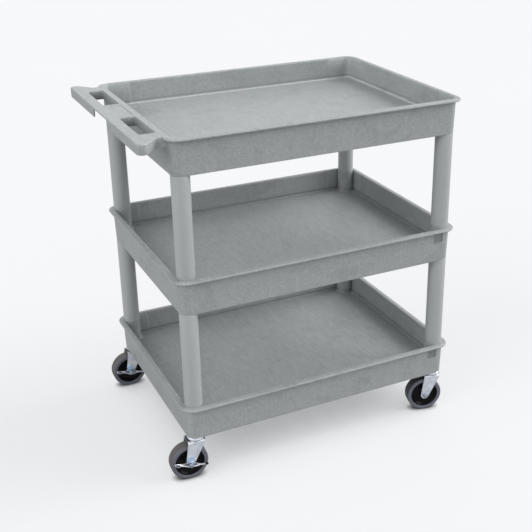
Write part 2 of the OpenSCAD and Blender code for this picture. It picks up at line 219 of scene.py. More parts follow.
def moulded_plastic(name, tone, cloud, sheen, relief, shine=0.5, ribs=0.0, wear=0.12):
    """A moulded plastic: its grey, how cloudy it is, how its gloss varies, how deep its grain is, how shiny
    it is, and how strongly the ribs and the wear show."""
    material, tree, shader = new_material(name)
    skin_of = node(tree, "ShaderNodeGroup", node_tree=effect)
    skin_of.inputs["Tone"].default_value = (*tone, 1)
    for socket_name, value in (("Cloud", cloud), ("Ribs", ribs), ("Wear", wear)):
        skin_of.inputs[socket_name].default_value = value
    # The attribute gives painted shade and painted highlight to the skin
    tread_and_painted_light_values = node(tree, "ShaderNodeAttribute", attribute_name="tread_and_painted_light")
    tree.links.new(tread_and_painted_light_values.outputs["Fac"], skin_of.inputs["Painted light"])
    skin_of.inputs["Sheen low"].default_value, skin_of.inputs["Sheen high"].default_value = sheen
    bump = node(tree, "ShaderNodeBump", {"Strength": 0.35, "Distance": relief,
        "Height": skin_of.outputs["Height"]})
    tree.links.new(skin_of.outputs["Color"], shader.inputs["Base Color"])
    tree.links.new(skin_of.outputs["Roughness"], shader.inputs["Roughness"])
    tree.links.new(bump.outputs["Normal"], shader.inputs["Normal"])
    shader.inputs["Specular IOR Level"].default_value = shine
    return material


shelf_grey = moulded_plastic("grey_polyethylene", (0.290, 0.307, 0.312), 0.13, (0.34, 0.52), 0.0009,
    ribs=0.09, wear=1.0)


def arc(across, up, radius, start, end, steps=5):
    """Points along an arc: centre + radius * (cos, sin), from one angle to the other, in degrees."""
    angle = np.radians(np.linspace(start, end, steps + 1))
    return np.stack([across + radius * np.cos(angle), up + radius * np.sin(angle)], 1)


def skin(grid, closed_down=False, closed_round=True):
    """Faces over a grid of points: each joins a point to the next in its row and in the next row."""
    rows, columns = grid.shape[:2]
    i = np.arange(rows if closed_down else rows - 1)[:, None]
    j = np.arange(columns if closed_round else columns - 1)[None, :]
    down, right = (i + 1) % rows, (j + 1) % columns
    corners = np.broadcast_arrays(i * columns + j, i * columns + right,
        down * columns + right, down * columns + j)
    return grid.reshape(-1, 3), np.stack(corners, -1).reshape(-1, 4)


def make_piece(name, surfaces, material, slot, body, stands_for,
               at=(0, 0, 0), turn=0.0, crease=32, tread_and_painted_light=None):
    """Joins surfaces given in mm into one piece, turned about the upright axis and set at its place.
    Points that meet are merged, which closes seams and poles, and the faces are set to point outwards.
    tread_and_painted_light gives a value from -1 to 1 at each point, as drawn, for the material to read:
    painted shade and highlight, and on a tyre its share of tread."""
    starts = np.cumsum([0] + [len(points) for points, _ in surfaces])
    points = np.concatenate([points for points, _ in surfaces])
    tread_and_painted_light_values = tread_and_painted_light(points) if tread_and_painted_light else None
    cos, sin = math.cos(turn), math.sin(turn)
    points = points @ np.array([[cos, sin, 0], [-sin, cos, 0], [0, 0, 1]]) + np.array(at, float)
    faces = sum(((np.asarray(f) + start).tolist() for (_, f), start in zip(surfaces, starts)), [])
    mesh = bpy.data.meshes.new(name)
    mesh.from_pydata((points * MM).tolist(), [], faces)
    if tread_and_painted_light:
        mesh.attributes.new("tread_and_painted_light", "FLOAT", "POINT").data.foreach_set("value", tread_and_painted_light_values)
    work = bmesh.new()
    work.from_mesh(mesh)
    bmesh.ops.remove_doubles(work, verts=work.verts, dist=4e-6)
    bmesh.ops.dissolve_degenerate(work, edges=work.edges, dist=1e-6)
    bmesh.ops.recalc_face_normals(work, faces=work.faces)
    work.to_mesh(mesh)
    work.free()
    mesh.shade_smooth()
    mesh.set_sharp_from_angle(angle=math.radians(crease))
    piece = bpy.data.objects.new(name, mesh)
    bpy.context.scene.collection.objects.link(piece)
    mesh.materials.append(material)
    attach(piece, body)
    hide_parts(*stands_for)


shelf_low, shelf_high = (np.array(corner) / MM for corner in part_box("middle_tub"))
half_l, half_w = (shelf_high[0] - shelf_low[0]) / 2, (shelf_high[1] - shelf_low[1]) / 2
shelf_x = (shelf_high[0] + shelf_low[0]) / 2
RIM_R, SKIRT_DROP, FLOOR_DROP, UNDER_DROP = 38.0, 95.0, 64.0, 69.0
corner_x, corner_y = half_l - RIM_R, half_w - RIM_R
rim_z = {tub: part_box(tub)[0].z / MM + SKIRT_DROP for tub in ("top_tub", "middle_tub", "bottom_tub")}
PAD_X, PAD_Y, PAD_SLOPE, PAD_T = 311.0, 205.0, 4.0, 1.5
POCKET_X, POCKET_HALF, POCKET_T = 350.5, 13.5, 2.0
MARKS_X = np.array([50, 101.5, 150, 200, 250, 290, 307, 311, 313, 315, 317, 319, 325,
    336.3, 337.2, 363.8, 364.7])
MARKS_Y = np.array([50, 100, 150, 190, 201, 205, 207, 209, 211, 213, 220, 240, 255])


def round_the_shelf(steps=16):
    """One lap round a shelf: places on the rectangle between the corner centres, and the direction
    straight out from each. A point of the wall is place + out * reach."""
    along_x, along_y = (np.concatenate([-m[::-1], [0], m]) for m in (MARKS_X, MARKS_Y))
    places, outs = [], []
    for side_x, side_y, start in ((1, -1, -90), (1, 1, 0), (-1, 1, 90), (-1, -1, 180)):
        outs.append(arc(0, 0, 1, start, start + 90, steps))
        places.append(np.tile([side_x * corner_x, side_y * corner_y], (steps + 1, 1)))
        if side_x * side_y < 0:
            places.append(np.stack([np.full(len(along_y), side_x * corner_x), along_y * side_x], 1))
            outs.append(np.tile([side_x, 0], (len(along_y), 1)))
        else:
            places.append(np.stack([-along_x * side_y, np.full(len(along_x), side_y * corner_y)], 1))
            outs.append(np.tile([0, side_y], (len(along_x), 1)))
    return np.concatenate(places), np.concatenate(outs)


def smooth(value, low, high):
    """0 below low, 1 above high, and an even S between them."""
    t = np.clip((value - low) / (high - low), 0, 1)
    return t * t * (3 - 2 * t)


# Section through the wall, as reach from the corner centres and height from the top of the lip
inner_wall = np.vstack([arc(13.5, 6 - FLOOR_DROP, 6, 270, 360),
    [[19.55, -56.4], [19.6, -54.0], [19.65, -52], [19.9, -35], [20.5, -6]], arc(24.6, -4, 4, 180, 90)])
outer_wall = np.vstack([[[27, -0.1], [30, -0.5], [33, -1.1]], arc(35.4, -4.2, 2.6, 68, 0),
    arc(36.8, -5.6, 1.2, 0, -90), [[29, -6.5]], arc(27.6, -8.1, 1.6, 90, 180),
    [[25.97, -9.0], [24.98, -39.3], [24.96, -40.0], [24.3, -60], [23.3, -92]],
    arc(21.9, 1.4 - SKIRT_DROP, 1.4, 0, -90), arc(20.2, 1.4 - SKIRT_DROP, 1.4, -90, -180), [[18.8, -75]],
    arc(15.8, -3 - UNDER_DROP, 3, 0, 90)])
section = np.vstack([inner_wall, outer_wall])
pad_weight = np.where(np.arange(len(section)) < len(inner_wall), np.clip((-3 - section[:, 1]) / 3, 0, 1), 0)
FLOOR_RINGS = np.array([0.04, 0.2, 0.45, 0.75, 1.0])[:, None, None]


def tub_surface(pockets, handle):
    """The whole shell of a tub as one grid. point = place + out * (reach - pad), where the pads make
    the wall thicker by the corners. The floor's rings shrink from the foot of the wall to its middle line."""
    places, outs = round_the_shelf()
    pad = np.where(np.abs(outs[:, 0]) < 1e-9, smooth(np.abs(places[:, 0]), PAD_X, PAD_X + PAD_SLOPE),
        np.where(np.abs(outs[:, 1]) < 1e-9, smooth(np.abs(places[:, 1]), PAD_Y, PAD_Y + PAD_SLOPE), 1.0))
    reach = section[:, :1] - PAD_T * pad_weight[:, None] * pad[None, :]
    height = np.repeat(section[:, 1:], len(places), 1)
    if pockets:
        across = (np.abs(places[:, 0] - POCKET_X) < POCKET_HALF) & (np.abs(outs[:, 0]) < 1e-9)
        rows = (np.arange(len(section)) >= len(inner_wall)) & (section[:, 1] > -39.5) & (section[:, 1] < -8.5)
        rows &= section[:, 0] < 26.5
        reach = reach - POCKET_T * rows[:, None] * across[None, :]
    if handle:
        flat = smooth(-outs[:, 0], math.cos(math.radians(26)), 1.0) * (places[:, 0] < 0)
        top = (np.arange(len(section)) >= len(inner_wall) - 1) & (section[:, 1] > -3)
        lowered = np.minimum(height, -0.05)
        height = np.where(top[:, None], height + (np.maximum(lowered, -0.05) - height) * flat[None, :], height)
    flat_points = places[None] + outs[None] * reach[:, :, None]
    wall = np.concatenate([flat_points, height[:, :, None]], 2)
    middle = np.stack([np.clip(places[:, 0], -MARKS_X[1], MARKS_X[1]), 0 * places[:, 0]], 1)

    def floor_rings(edge):
        ring = edge[None, :, :2] * (1 - FLOOR_RINGS) + middle[None] * FLOOR_RINGS
        return np.concatenate([ring, np.full(ring.shape[:2] + (1,), edge[0, 2])], 2)
    return skin(np.concatenate([floor_rings(wall[0])[::-1], wall, floor_rings(wall[-1])]))


def bars(starts, ends, half_top, half_foot, top, foot):
    """Straight ribs: a tapered bar from each start to each end, as eight corners and six faces."""
    along = (ends - starts) / np.linalg.norm(ends - starts, axis=1, keepdims=True)
    side = np.stack([-along[:, 1], along[:, 0]], 1)
    ring = lambda half, z: [np.column_stack([p + s * half * side, np.full(len(p), z)])
                            for p, s in ((starts, 1), (starts, -1), (ends, -1), (ends, 1))]
    corners = np.stack(ring(half_top, top) + ring(half_foot, foot), 1)
    box = np.array([[0, 1, 2, 3], [4, 5, 6, 7], [0, 1, 5, 4], [1, 2, 6, 5], [2, 3, 7, 6], [3, 0, 4, 7]])
    return corners.reshape(-1, 3), (box[None] + 8 * np.arange(len(starts))[:, None, None]).reshape(-1, 4)


SKIRT_IN, RIB_HALF_TOP, RIB_HALF_FOOT, RIB_TOP = 19.5, 1.7, 1.2, -UNDER_DROP + 0.6
rib_x = (np.arange(1, RIB_BAYS_L) / RIB_BAYS_L - 0.5) * RIB_SPAN_L
rib_y = (np.arange(1, RIB_BAYS_W) / RIB_BAYS_W - 0.5) * RIB_SPAN_W
rib_surfaces = [
    bars(np.column_stack([rib_x, 0 * rib_x - corner_y - SKIRT_IN]),
         np.column_stack([rib_x, 0 * rib_x + corner_y + SKIRT_IN]), RIB_HALF_TOP, RIB_HALF_FOOT, RIB_TOP, -94.0),
    bars(np.column_stack([0 * rib_y - corner_x - SKIRT_IN, rib_y]),
         np.column_stack([0 * rib_y + corner_x + SKIRT_IN, rib_y]), RIB_HALF_TOP, RIB_HALF_FOOT, RIB_TOP, -93.9)]


def turned(profile, steps=72, angles=None):
    """A profile of (radius, height) points spun round the upright axis."""
    angle = np.linspace(0, 2 * np.pi, steps, endpoint=False) if angles is None else angles
    radius, height = np.asarray(profile, float).T[..., None]
    return skin(np.stack(np.broadcast_arrays(radius * np.cos(angle), radius * np.sin(angle), height), -1))


# Columns are moulded with the lower two tubs and rise just above the lip; the top tub has only
# the sockets below its floor
COLUMN_RISE = 5.0
boss = np.vstack([[[0, -SKIRT_DROP]], arc(21.6, 1.2 - SKIRT_DROP, 1.2, -90, 0), [[22.8, -66.5]]])
column = np.vstack([boss, [[31, -66], [31, -64.3], [30, -63.9], [27.6, -63.0], [25.6, -61], [24.4, -57],
    [24.0, -48], [24.0, 0]], arc(22.6, COLUMN_RISE - 1.4, 1.4, 0, 90), [[0, COLUMN_RISE]]])
socket = np.vstack([boss, [[0, -66.5]]])
CORNER_SIGNS = [(-1, -1), (-1, 1), (1, -1), (1, 1)]
BURIED_R = 22.6


def in_corner(surface, x_side, y_side):
    """A column in its corner: below the lip, what faces the walls is drawn in to BURIED_R, inside them."""
    x, y, z = surface[0].T
    x, y = x * x_side, y * y_side
    radius = np.hypot(x, y)
    draw_in = np.where((x > 0) & (y > 0) & (radius > BURIED_R), BURIED_R / np.maximum(radius, 1), 1)
    low = z < -3
    inside = [np.where(low, np.minimum(v * draw_in, BURIED_R), v) * side
        for v, side in ((x, x_side), (y, y_side))]
    return np.column_stack([inside[0] + x_side * corner_x, inside[1] + y_side * corner_y, z]), surface[1]


def tub_painted_light(p, foot_painted_light):
    """Painted shade and painted highlight along the fillet at the foot of the inside wall, by foot_painted_light
    at falling heights, painted shade under the lip and painted shade in the pockets."""
    x, y, drop = np.abs(p[:, 0]), np.abs(p[:, 1]), -p[:, 2]
    reach = np.hypot(np.maximum(x - corner_x, 0), np.maximum(y - corner_y, 0))
    foot = np.interp(drop, [52, 54, 56.4, 59.8, 61.6, 63.8], foot_painted_light) * (reach < 20.4)
    foot = np.where((reach > 24) & (reach < 29.5) & (drop > 6.3) & (drop < 8.5), 0.9, foot)
    pocket = (np.abs(p[:, 0] - POCKET_X) < POCKET_HALF + 0.3) & (np.abs(y - corner_y - 23.6) < 1)
    return np.where(pocket & (drop > 8.4) & (drop < 40), 0.85, foot)


# Painted shade at the inside wall's foot; on the top tub painted shade, then a painted highlight along the
# fillet
FOOT_PAINTED_SHADE, FOOT_PAINTED_SHADE_AND_HIGHLIGHT = [0, 0.15, 0.4, 0.95, 0.55, 0], [0, 0.35, 0.3, 0, -0.75, 0]
for tub, shape, foot_painted_light in (("bottom_tub", column, FOOT_PAINTED_SHADE), ("middle_tub", column, FOOT_PAINTED_SHADE),
                              ("top_tub", socket, FOOT_PAINTED_SHADE_AND_HIGHLIGHT)):
    surfaces = [tub_surface(tub != "top_tub", tub == "top_tub"), *rib_surfaces]
    surfaces += [in_corner(turned(shape), x, y) for x, y in CORNER_SIGNS]
    make_piece(tub + "_moulding", surfaces, shelf_grey, "shelf_plastic", "frame", [tub],
        at=(shelf_x, 0, rim_z[tub]), tread_and_painted_light=lambda p: tub_painted_light(p, foot_painted_light))

# ---- The push handle: part of the top tub's moulding, a flat grip with two hand slots ----
# Its edge turns down in a skirt, which is left away in the middle. Each slot has its own flange,
# and a shallow plain panel lies between them.
HANDLE_REACH, LOBE_R, VALLEY_R, SKIRT, PLATE, GAP = 70.0, 15.0, 11.0, 26.0, 5.0, 60.0
SLOT_L, SLOT_W, SLOT_Y, SLOT_DEEP = 156.0, 39.5, 146.0, 25.0
handle_root = -(corner_x + RIM_R - 13.1)
outer_marks = np.array([285, 240, 190, 140, 100, 75, 64, 62.5, 61.4, 60.7, 60, 30])


def handle_edge(inset):
    """The handle's edge, moved inwards by inset: from the lip round a hollow of radius VALLEY_R, straight
    to a round end of radius LOBE_R, along the outside and back on the other side, its mirror image."""
    lobe = np.array([-half_l - HANDLE_REACH + LOBE_R, half_w - LOBE_R])
    valley = np.array([-half_l - VALLEY_R + 1.5, half_w - RIM_R + VALLEY_R - 1])
    gap = valley - lobe
    slope = math.degrees(math.atan2(gap[1], gap[0]) + math.acos((LOBE_R + VALLEY_R) / np.linalg.norm(gap)))
    half = np.vstack([[[handle_root, valley[1] - VALLEY_R - inset]],
        arc(*valley, VALLEY_R + inset, 270, 180 + slope, 8), arc(*lobe, LOBE_R - inset, slope, 180, 12),
        np.column_stack([np.full(len(outer_marks), lobe[0] - LOBE_R + inset), outer_marks])])
    return np.vstack([half, [[half[-1, 0], 0]], half[::-1] * [1, -1]])


def slot_edge(centre, length, width, radius, grow):
    """A rounded rectangle, grown by grow: quarter arcs round the four corner centres."""
    x, y = width / 2 - radius, length / 2 - radius
    return np.vstack([arc(centre[0] + sx * x, centre[1] + sy * y, radius + grow, start, start + 90, 6)
        for sx, sy, start in ((1, 1, 0), (-1, 1, 90), (-1, -1, 180), (1, -1, 270))])


def turned_down(edge, depth):
    """An edge that turns down: the grid of a rounded top edge, a drafted face, a rounded foot and
    the inside face back up to the plate's underside. edge(inset) gives the outline, depth its drop."""
    top = arc(3, -3, 3, 90, 180)
    foot = arc(2.1, 1.6, 1.6, 180, 360, 6)
    fillet = arc(6.2, -7, 2, 180, 90, 3)
    thick = np.clip((depth - PLATE) / 4, 0, 1)
    rows = [(3.6, 0 * depth)] + [(across, 0 * depth + up) for across, up in top]
    rows += [(across, -depth + up) for across, up in foot[:4]]
    rows += [(across, -depth + up * thick) for across, up in foot[4:]]
    rows += [(across, np.maximum(up, -depth)) for across, up in fillet] + [(9.0, np.maximum(-PLATE, -depth))]
    return np.stack([np.column_stack([edge(across), up]) for across, up in rows])


def flat_sheet(rings):
    """A flat face inside the first ring and outside the others, cut into triangles."""
    triangles = tessellate_polygon([[Vector(p) for p in ring] for ring in rings])
    return np.concatenate(rings), np.array(triangles)


outline = handle_edge(0)
skirt_depth = np.interp(np.abs(outline[:, 1]), [0, GAP, 60.7, 61.4, 62.5, 64, 400],
    [PLATE, PLATE, 21.5, 24.4, 25.6, SKIRT, SKIRT])
rim_turn = turned_down(handle_edge, skirt_depth)
slot_x = -half_l - SLOT_W / 2 - 0.5
slot_turns = [turned_down(lambda grow, s=side: slot_edge((slot_x, s * SLOT_Y), SLOT_L, SLOT_W, 4.0, grow),
    np.full(28, SLOT_DEEP)) for side in (-1, 1)]
PANEL_L, PANEL_W, PANEL_DEEP = 112.0, SLOT_W - 6, 1.6
panel_turn = np.stack([np.column_stack([slot_edge((slot_x + 4, 0), PANEL_L, PANEL_W, 4.0, grow),
    np.full(28, z)]) for grow, z in ((1.2, 0), (0.8, 0), (0.3, -0.2), (-0.2, -0.8),
        (-0.7, -PANEL_DEEP), (-1.2, -PANEL_DEEP))])
end_face = np.vstack([rim_turn[:, 0], rim_turn[::-1, -1]])
make_piece("push_handle_moulding", [
    skin(rim_turn, closed_round=False), *[skin(s) for s in slot_turns], skin(panel_turn),
    flat_sheet([rim_turn[0], slot_turns[0][0], slot_turns[1][0], panel_turn[0]]),
    flat_sheet([rim_turn[-1], slot_turns[0][-1], slot_turns[1][-1]]),
    flat_sheet([panel_turn[-1]]), flat_sheet([end_face])],
    shelf_grey, "shelf_plastic", "frame", ["top_tub"], at=(shelf_x, 0, rim_z["top_tub"]),
    # painted shade in the hand slots, darker further down
    tread_and_painted_light=lambda p: smooth(-p[:, 2], 1.5, 9) * (np.abs(p[:, 0] - slot_x) < SLOT_W / 2 + 1)
    * (np.abs(np.abs(p[:, 1]) - SLOT_Y) < SLOT_L / 2 + 1))

# ---- The eight posts: smooth hollow tubes, pushed over spigots between one shelf and the next ----
# Each has rounded ends, which leave a fine dark line at the joint, and two faint parting lines.
post_grey = moulded_plastic("smooth_grey_tube", (0.345, 0.362, 0.367), 0.03, (0.34, 0.44), 0.00025)
POST_R, PARTING, PARTING_WIDE = 23.5, 0.16, 0.022
CORNERS = {"rear_right": (-1, -1), "rear_left": (-1, 1), "front_right": (1, -1), "front_left": (1, 1)}
seam_at = np.radians([-128.0, 52.0])
fine = np.linspace(-0.06, 0.06, 9)
post_angles = np.unique(np.round(np.concatenate([np.linspace(-np.pi, np.pi, 73)[:-1],
    *(seam_at[:, None] + fine)]), 5))


def post_surface(low, high):
    """A tube with rounded ends, spun from its profile, with radius + ridge at the two parting lines."""
    profile = np.vstack([[[0, low]], arc(POST_R - 1.1, low + 1.1, 1.1, -90, 0), [[POST_R, (low + high) / 2]],
        arc(POST_R - 1.1, high - 1.1, 1.1, 0, 90), [[0, high]]])
    points, faces = turned(profile, angles=post_angles)
    angle = np.arctan2(points[:, 1], points[:, 0])
    off = np.abs(angle[:, None] - seam_at[None]).min(1)
    full = np.hypot(points[:, 0], points[:, 1]) > POST_R - 0.01
    grow = 1 + full * PARTING / POST_R * np.exp(-(off / PARTING_WIDE) ** 2)
    return points * np.column_stack([grow, grow, 1 + 0 * grow]), faces


for level, below, above in (("lower", "bottom_tub", "middle_tub"), ("upper", "middle_tub", "top_tub")):
    tube = post_surface(rim_z[below] + COLUMN_RISE, rim_z[above] - SKIRT_DROP)
    for corner, (x, y) in CORNERS.items():
        make_piece(f"{corner}_{level}_tube", [tube], post_grey, "post_plastic", "frame",
            [f"{corner}_{level}_post"], at=(shelf_x + x * corner_x, y * corner_y, 0))

# ---- The casters: zinc-plated pressings on a ball swivel, each with a grey-tyred black wheel ----
# Each caster is drawn with its swivel axis upright at 0, 0 and its wheel trailing towards -X,
# and then turned to its resting angle. The nut is on its -Y side.
WHEEL_R, TRAIL, LEG_IN, SHEET, CROWN, BELOW_TUB = 51.0, 23.0, 18.5, 2.5, 115.0, 124.0
LEG_OUT = LEG_IN + SHEET

plating = bpy.data.node_groups.new("zinc_bloom", "ShaderNodeTree")
for name, kind in SKIN_OUTPUTS:
    plating.interface.new_socket(name, in_out="OUTPUT", socket_type=kind)
place = node(plating, "ShaderNodeTexCoord").outputs["Object"]
bloom = node(plating, "ShaderNodeTexNoise", {"Vector": place, "Scale": 60.0, "Detail": 4.0, "Distortion": 0.6})
drawn = node(plating, "ShaderNodeTexNoise", {"Vector": node(plating, "ShaderNodeMapping",
    {"Vector": place, "Scale": (1.0, 1.0, 0.08)}).outputs[0], "Scale": 900.0, "Detail": 2.0})
tint = node(plating, "ShaderNodeValToRGB", {"Fac": bloom.outputs["Fac"]})
tint.color_ramp.elements[0].position, tint.color_ramp.elements[0].color = 0.3, (0.48, 0.52, 0.59, 1)
tint.color_ramp.elements[1].position, tint.color_ramp.elements[1].color = 0.7, (0.66, 0.68, 0.71, 1)
gloss = node(plating, "ShaderNodeMapRange", {"Value": bloom.outputs["Fac"], "From Min": 0.3, "From Max": 0.7,
    "To Min": 0.46, "To Max": 0.32})
node(plating, "NodeGroupOutput", {"Color": tint.outputs["Color"], "Roughness": gloss.outputs[0],
    "Height": drawn.outputs["Fac"]})


def plated(name, tint):
    """Zinc plate over steel: bluish bloom in its colour and gloss, fine drawing lines, and painted shade
    in the hollows and a painted dark reflection on the crown, near black, where the attribute gives them."""
    material, tree, shader = new_material(name)
    bloom_of = node(tree, "ShaderNodeGroup", node_tree=plating)
    tread_and_painted_light_values = node(tree, "ShaderNodeAttribute", attribute_name="tread_and_painted_light")
    # Painted shade and painted dark reflection: the tint goes towards near black where the attribute gives them
    painted_dark = node(tree, "ShaderNodeMix", {"Factor": tread_and_painted_light_values.outputs["Fac"], "A": (*tint, 1),
        "B": (0.05, 0.05, 0.055, 1)}, data_type="RGBA")
    gain = node(tree, "ShaderNodeVectorMath", {0: bloom_of.outputs["Color"], 1: painted_dark.outputs["Result"]},
        operation="MULTIPLY")
    bump = node(tree, "ShaderNodeBump", {"Strength": 0.25, "Distance": 0.0001,
        "Height": bloom_of.outputs["Height"]})
    tree.links.new(gain.outputs[0], shader.inputs["Base Color"])
    tree.links.new(bloom_of.outputs["Roughness"], shader.inputs["Roughness"])
    tree.links.new(bump.outputs["Normal"], shader.inputs["Normal"])
    shader.inputs["Metallic"].default_value = 0.85
    return material


zinc = plated("bright_zinc_plate", (1.34, 1.34, 1.33))
dull_zinc = plated("dull_zinc_plate", (0.62, 0.66, 0.72))
blue_zinc = plated("blue_zinc_plate", (1.0, 1.2, 1.40))
ball_steel = plated("polished_ball_steel", (0.9, 0.9, 0.9))
black_nylon = moulded_plastic("black_nylon", (0.007, 0.007, 0.008), 0.15, (0.4, 0.55), 0.0002, 0.2)
wheel_black = moulded_plastic("wheel_gloss_black", (0.004, 0.004, 0.0048), 0.12, (0.16, 0.30), 0.0001, 0.12)


def tyre_rubber(name, side, tread):
    """Grey rubber: bluish on its sides and darker or dusty on the tread, which the attribute gives."""
    material, tree, shader = new_material(name)
    skin_of = node(tree, "ShaderNodeGroup", node_tree=effect)
    tread_share = node(tree, "ShaderNodeAttribute", attribute_name="tread_and_painted_light")
    tone = node(tree, "ShaderNodeMix", {"Factor": tread_share.outputs["Fac"], "A": (*side, 1),
        "B": (*tread, 1)}, data_type="RGBA")
    tree.links.new(tone.outputs["Result"], skin_of.inputs["Tone"])
    skin_of.inputs["Cloud"].default_value = 0.10
    skin_of.inputs["Sheen low"].default_value, skin_of.inputs["Sheen high"].default_value = 0.42, 0.6
    bump = node(tree, "ShaderNodeBump", {"Strength": 0.4, "Distance": 0.0004,
        "Height": skin_of.outputs["Height"]})
    tree.links.new(skin_of.outputs["Color"], shader.inputs["Base Color"])
    tree.links.new(skin_of.outputs["Roughness"], shader.inputs["Roughness"])
    tree.links.new(bump.outputs["Normal"], shader.inputs["Normal"])
    return material


dusty_tyre = tyre_rubber("grey_rubber_dusty", (0.105, 0.112, 0.140), (0.095, 0.088, 0.090))
clean_tyre = tyre_rubber("grey_rubber_clean", (0.115, 0.122, 0.150), (0.050, 0.050, 0.060))


def on_axle(surface, lean=0.0):
    """Turns a surface drawn round the upright axis to lie round the axle, its top towards -Y. lean first
    turns it about its own axis, in degrees."""
    x, y, z = surface[0].T
    cos, sin = math.cos(math.radians(lean)), math.sin(math.radians(lean))
    x, y = x * cos - y * sin, x * sin + y * cos
    return np.column_stack([x - TRAIL, -z, y + WHEEL_R]), surface[1]


# Fork: one sheet bent into two legs and a crown. The rear and front edges of a leg are lines that
# touch the round end about the axle
END_R, REAR_TOP, FRONT_TOP = 12.0, -26.0, 22.0


def leg_edges(z):
    """The rear and the front edge of a leg at height z: a circle round the axle, then straight lines."""
    rise = CROWN - WHEEL_R
    edges = []
    for top, side in ((REAR_TOP, 1), (FRONT_TOP, -1)):
        run = top + TRAIL
        angle = math.atan2(rise, run) + side * math.acos(END_R / math.hypot(rise, run))
        touch_x, touch_z = -TRAIL + END_R * math.cos(angle), WHEEL_R + END_R * math.sin(angle)
        line = touch_x + (top - touch_x) * (z - touch_z) / (CROWN - touch_z)
        circle = -TRAIL - side * np.sqrt(np.clip(END_R ** 2 - (z - WHEEL_R) ** 2, 0, None))
        edges.append(np.where(z > touch_z, line, circle))
    return edges


leg_z = np.concatenate([WHEEL_R - END_R * np.cos(np.radians([0, 12, 25, 40, 56, 73, 90])),
    [56, 60, 63, 66, 69, 74, 80, 86, 91, 95, 98, 101, 105, 110]])
bend = np.radians([15, 30, 45, 60, 75])
side_y = LEG_OUT - SHEET / 2
bend_r, bend_y, bend_z = 3.75, side_y - 3.75, CROWN - SHEET / 2 - 3.75
half_y = np.concatenate([np.full(len(leg_z), side_y), bend_y + bend_r * np.cos(bend), [bend_y, 8]])
half_z = np.concatenate([leg_z, bend_z + bend_r * np.sin(bend), [bend_z + bend_r] * 2])
half_ny = np.concatenate([np.ones(len(leg_z)), np.cos(bend), [0, 0]])
path_y, path_ny = (np.concatenate([-half, [0], half[::-1]]) for half in (half_y, half_ny))
path_z = np.concatenate([half_z, half_z[-1:], half_z[::-1]])
path_nz = np.sqrt(1 - path_ny ** 2)
across = np.array([0, 0.04, 0.09, 0.14, 0.19, 0.25, 0.33, 0.5, 0.67, 0.75, 0.81, 0.86, 0.91, 0.96, 1.0])
share = np.concatenate([across, [1, 1], across[::-1], [0, 0]])[None]
inward = np.concatenate([[1], 0 * across[1:-1], [-1], [0, 0], [-1], 0 * across[1:-1], [1], [0, 0]])[None]
layer = np.concatenate([0 * across + 1.25, [0.8, -0.8], 0 * across - 1.25, [-0.8, 0.8]])[None]
rear, front = leg_edges(path_z)
wide = (front - rear)[:, None]
border = np.interp(path_z, [60, 110], [2.2, 7.0])[:, None]
raised = smooth(share * wide - border, 0, 1.6) * smooth((1 - share) * wide - border, 0, 1.6)
on_leg = smooth(path_z, 63, 68) * (1 - smooth(path_z, 96, 101)) * (np.abs(path_ny) == 1)
raised = 0.9 * raised * on_leg[:, None]
sheet_x = rear[:, None] + wide * share + 0.45 * inward * np.clip(wide / 6, 0, 1)
path_sign = np.concatenate([-np.ones(len(half_y)), [1], np.ones(len(half_y))])
sheet_y = path_y[:, None] + (path_sign * np.abs(path_ny))[:, None] * (layer + raised)
sheet_z = path_z[:, None] + path_nz[:, None] * layer
fork_sheet = skin(np.stack(np.broadcast_arrays(sheet_x, sheet_y, sheet_z), -1))
crown_ring = turned(np.vstack([[[0, 112.4]], arc(22.9, 113.5, 1.1, -90, 0, 3), arc(22.9, 114.3, 1.1, 0, 90, 3),
    [[19.5, 115.3], [18.4, 114.95], [0, 114.95]]]))
swivel_cup = turned(np.vstack([[[0, BELOW_TUB - 0.02], [20.3, BELOW_TUB - 0.02]],
    arc(20.3, 121.9, 2.1, 90, 20, 3),
    [[23.0, 120.5], [23.4, 118.2], [23.0, 117.3], [22.4, 117.0], [21.8, 117.5], [21.2, 120.6], [20, 121.4],
     [8, 121.4], [5, 121.2], [5, 111.7], [8, 111.4], [7.6, 108.6], [6.6, 108.1], [0, 108]]]))


def crown_painted_reflection(p):
    """1 on the flat top of the crown, which a painted dark reflection makes black, and 0 on its bright bent
    edges.
    """
    return smooth(p[:, 2], CROWN - 0.9, CROWN - 0.3) * (1 - smooth(np.abs(p[:, 1]), 13, 16.5))


def hexagon(across_flats, rows, steps=72):
    """A hexagonal part: at each (height, limit) row the radius is the smaller of the hexagon's,
    half / cos(angle from the middle of a flat), and the limit, which makes the chamfer."""
    angle = np.linspace(0, 2 * np.pi, steps, endpoint=False)
    from_flat = (angle + np.pi / 6) % (np.pi / 3) - np.pi / 6
    height, limit = np.array(rows, float).T[..., None]
    radius = np.minimum(across_flats / 2 / np.cos(from_flat)[None], limit)
    return skin(np.stack(np.broadcast_arrays(radius * np.cos(angle), radius * np.sin(angle), height), -1))


def bolt_surfaces(reach):
    """A hexagon bolt along the axle: the head, the shank and a threaded end, whose radius ripples."""
    head = hexagon(13, [(-LEG_OUT, 0), (-LEG_OUT, 6.5), (-LEG_OUT - 0.4, 9), (-LEG_OUT - 4.4, 9),
        (-LEG_OUT - 5.3, 6.3), (-LEG_OUT - 5.3, 0)])
    thread = np.linspace(LEG_IN, reach - 0.8, 60)
    ripple = 3.85 + 0.15 * np.cos((thread - LEG_IN) * 2 * np.pi / 1.25)
    profile = np.vstack([[[0, -LEG_OUT], [4, -LEG_OUT], [4, LEG_IN - 1]], np.column_stack([ripple, thread]),
        [[3.2, reach], [0, reach]]])
    return [on_axle(head), on_axle(turned(profile, 36))]


NUT_TALL = 6.5


def nut_surface(low, tall=NUT_TALL):
    """A locking nut: hexagon below, and a round collar that closes over the bolt."""
    return on_axle(hexagon(13, [(low, 0), (low, 6.4), (low + 0.6, 9), (low + tall - 2.2, 9),
        (low + tall - 1.5, 6.3), (low + tall - 1.3, 5.4), (low + tall - 0.2, 5.0), (low + tall, 4.6),
        (low + tall, 0)]))


